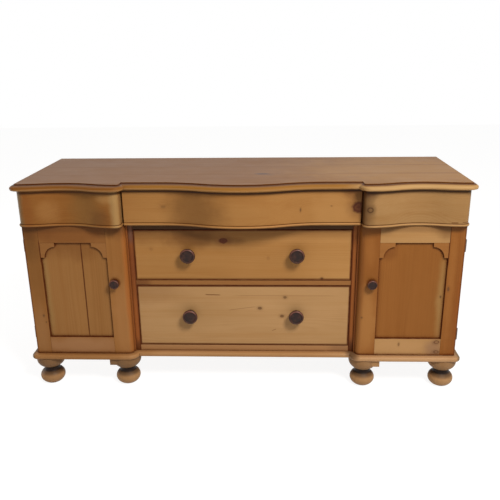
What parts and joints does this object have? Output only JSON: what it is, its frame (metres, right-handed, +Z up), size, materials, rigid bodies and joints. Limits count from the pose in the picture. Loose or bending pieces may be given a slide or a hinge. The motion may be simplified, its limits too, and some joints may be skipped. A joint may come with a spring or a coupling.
{
  "type": "dresser base",
  "caption": "Serpentine breakfront pine dresser base on bun feet, with frieze drawers, wide centre drawers and a panelled cupboard at each end.",
  "frame": {"origin": "centre of the footprint, on the floor", "axes": "+Z up, front faces -Y, +X to the right along the length as seen from the front"},
  "size_m": [1.83, 0.645, 0.9],
  "materials": {
    "waxed_pine": "waxed, satin",
    "top_pine": "waxed, polished by use",
    "raw_pine": "planed, unfinished",
    "dark_turned_wood": "dark polished",
    "iron": "browned iron"
  },
  "bodies": {
    "carcass": {"top_board": "top_pine", "right_side": "waxed_pine", "left_side": "waxed_pine", "right_partition": "waxed_pine", "left_partition": "waxed_pine", "back_boards": "raw_pine", "cupboard_floors": "raw_pine", "cupboard_shelves": "raw_pine", "shelf_battens": "raw_pine", "frieze_boards": "raw_pine", "drawer_posts": "waxed_pine", "drawer_rails": "waxed_pine", "drawer_runners": "raw_pine", "drawer_guides": "raw_pine", "top_cleats": "raw_pine", "plinth_front": "waxed_pine", "plinth_sides": "waxed_pine", "foot_pads": "waxed_pine", "bun_feet": "waxed_pine", "hinge_plates": "iron", "hinge_pins": "iron", "latch_keepers": "iron"},
    "lower_drawer": {"lower_drawer_front": "waxed_pine", "lower_drawer_sides": "raw_pine", "lower_drawer_back": "raw_pine", "lower_drawer_bottom": "raw_pine", "lower_drawer_knobs": "dark_turned_wood"},
    "upper_drawer": {"upper_drawer_front": "waxed_pine", "upper_drawer_sides": "raw_pine", "upper_drawer_back": "raw_pine", "upper_drawer_bottom": "raw_pine", "upper_drawer_knobs": "dark_turned_wood"},
    "left_frieze_drawer": {"left_frieze_front": "waxed_pine", "left_frieze_sides": "raw_pine", "left_frieze_back": "raw_pine", "left_frieze_bottom": "raw_pine"},
    "centre_frieze_drawer": {"centre_frieze_front": "waxed_pine", "centre_frieze_sides": "raw_pine", "centre_frieze_back": "raw_pine", "centre_frieze_bottom": "raw_pine"},
    "right_frieze_drawer": {"right_frieze_front": "waxed_pine", "right_frieze_sides": "raw_pine", "right_frieze_back": "raw_pine", "right_frieze_bottom": "raw_pine"},
    "left_door": {"left_door_stiles": "waxed_pine", "left_door_rails": "waxed_pine", "left_door_panel": "waxed_pine", "left_door_spandrels": "waxed_pine", "left_door_hinge_leaves": "iron"},
    "left_latch": {"left_door_knob": "dark_turned_wood", "left_door_latch": "iron"},
    "right_door": {"right_door_stiles": "waxed_pine", "right_door_rails": "waxed_pine", "right_door_panel": "waxed_pine", "right_door_spandrels": "waxed_pine", "right_door_hinge_leaves": "iron"},
    "right_latch": {"right_door_knob": "dark_turned_wood", "right_door_latch": "iron"}
  },
  "joints": [
    {"name": "lower_drawer_slide", "type": "slide", "parent": "carcass", "child": "lower_drawer", "axis": [0, -1, 0], "range_m": [0, 0.36]},
    {"name": "upper_drawer_slide", "type": "slide", "parent": "carcass", "child": "upper_drawer", "axis": [0, -1, 0], "range_m": [0, 0.36]},
    {"name": "left_frieze_drawer_slide", "type": "slide", "parent": "carcass", "child": "left_frieze_drawer", "axis": [0, -1, 0], "range_m": [0, 0.34]},
    {"name": "centre_frieze_drawer_slide", "type": "slide", "parent": "carcass", "child": "centre_frieze_drawer", "axis": [0, -1, 0], "range_m": [0, 0.34]},
    {"name": "right_frieze_drawer_slide", "type": "slide", "parent": "carcass", "child": "right_frieze_drawer", "axis": [0, -1, 0], "range_m": [0, 0.34]},
    {"name": "left_door_hinge", "type": "hinge", "parent": "carcass", "child": "left_door", "pos_m": [-0.89685, -0.22625, 0.1545], "axis": [0, 0, -1], "range_deg": [0, 170]},
    {"name": "left_latch_turn", "type": "hinge", "parent": "left_door", "child": "left_latch", "pos_m": [-0.5285, -0.2505, 0.48], "axis": [0, -1, 0], "range_deg": [0, 90]},
    {"name": "right_door_hinge", "type": "hinge", "parent": "carcass", "child": "right_door", "pos_m": [0.89685, -0.22625, 0.1545], "axis": [0, 0, 1], "range_deg": [0, 170]},
    {"name": "right_latch_turn", "type": "hinge", "parent": "right_door", "child": "right_latch", "pos_m": [0.5285, -0.2505, 0.48], "axis": [0, 1, 0], "range_deg": [0, 90]}
  ]
}
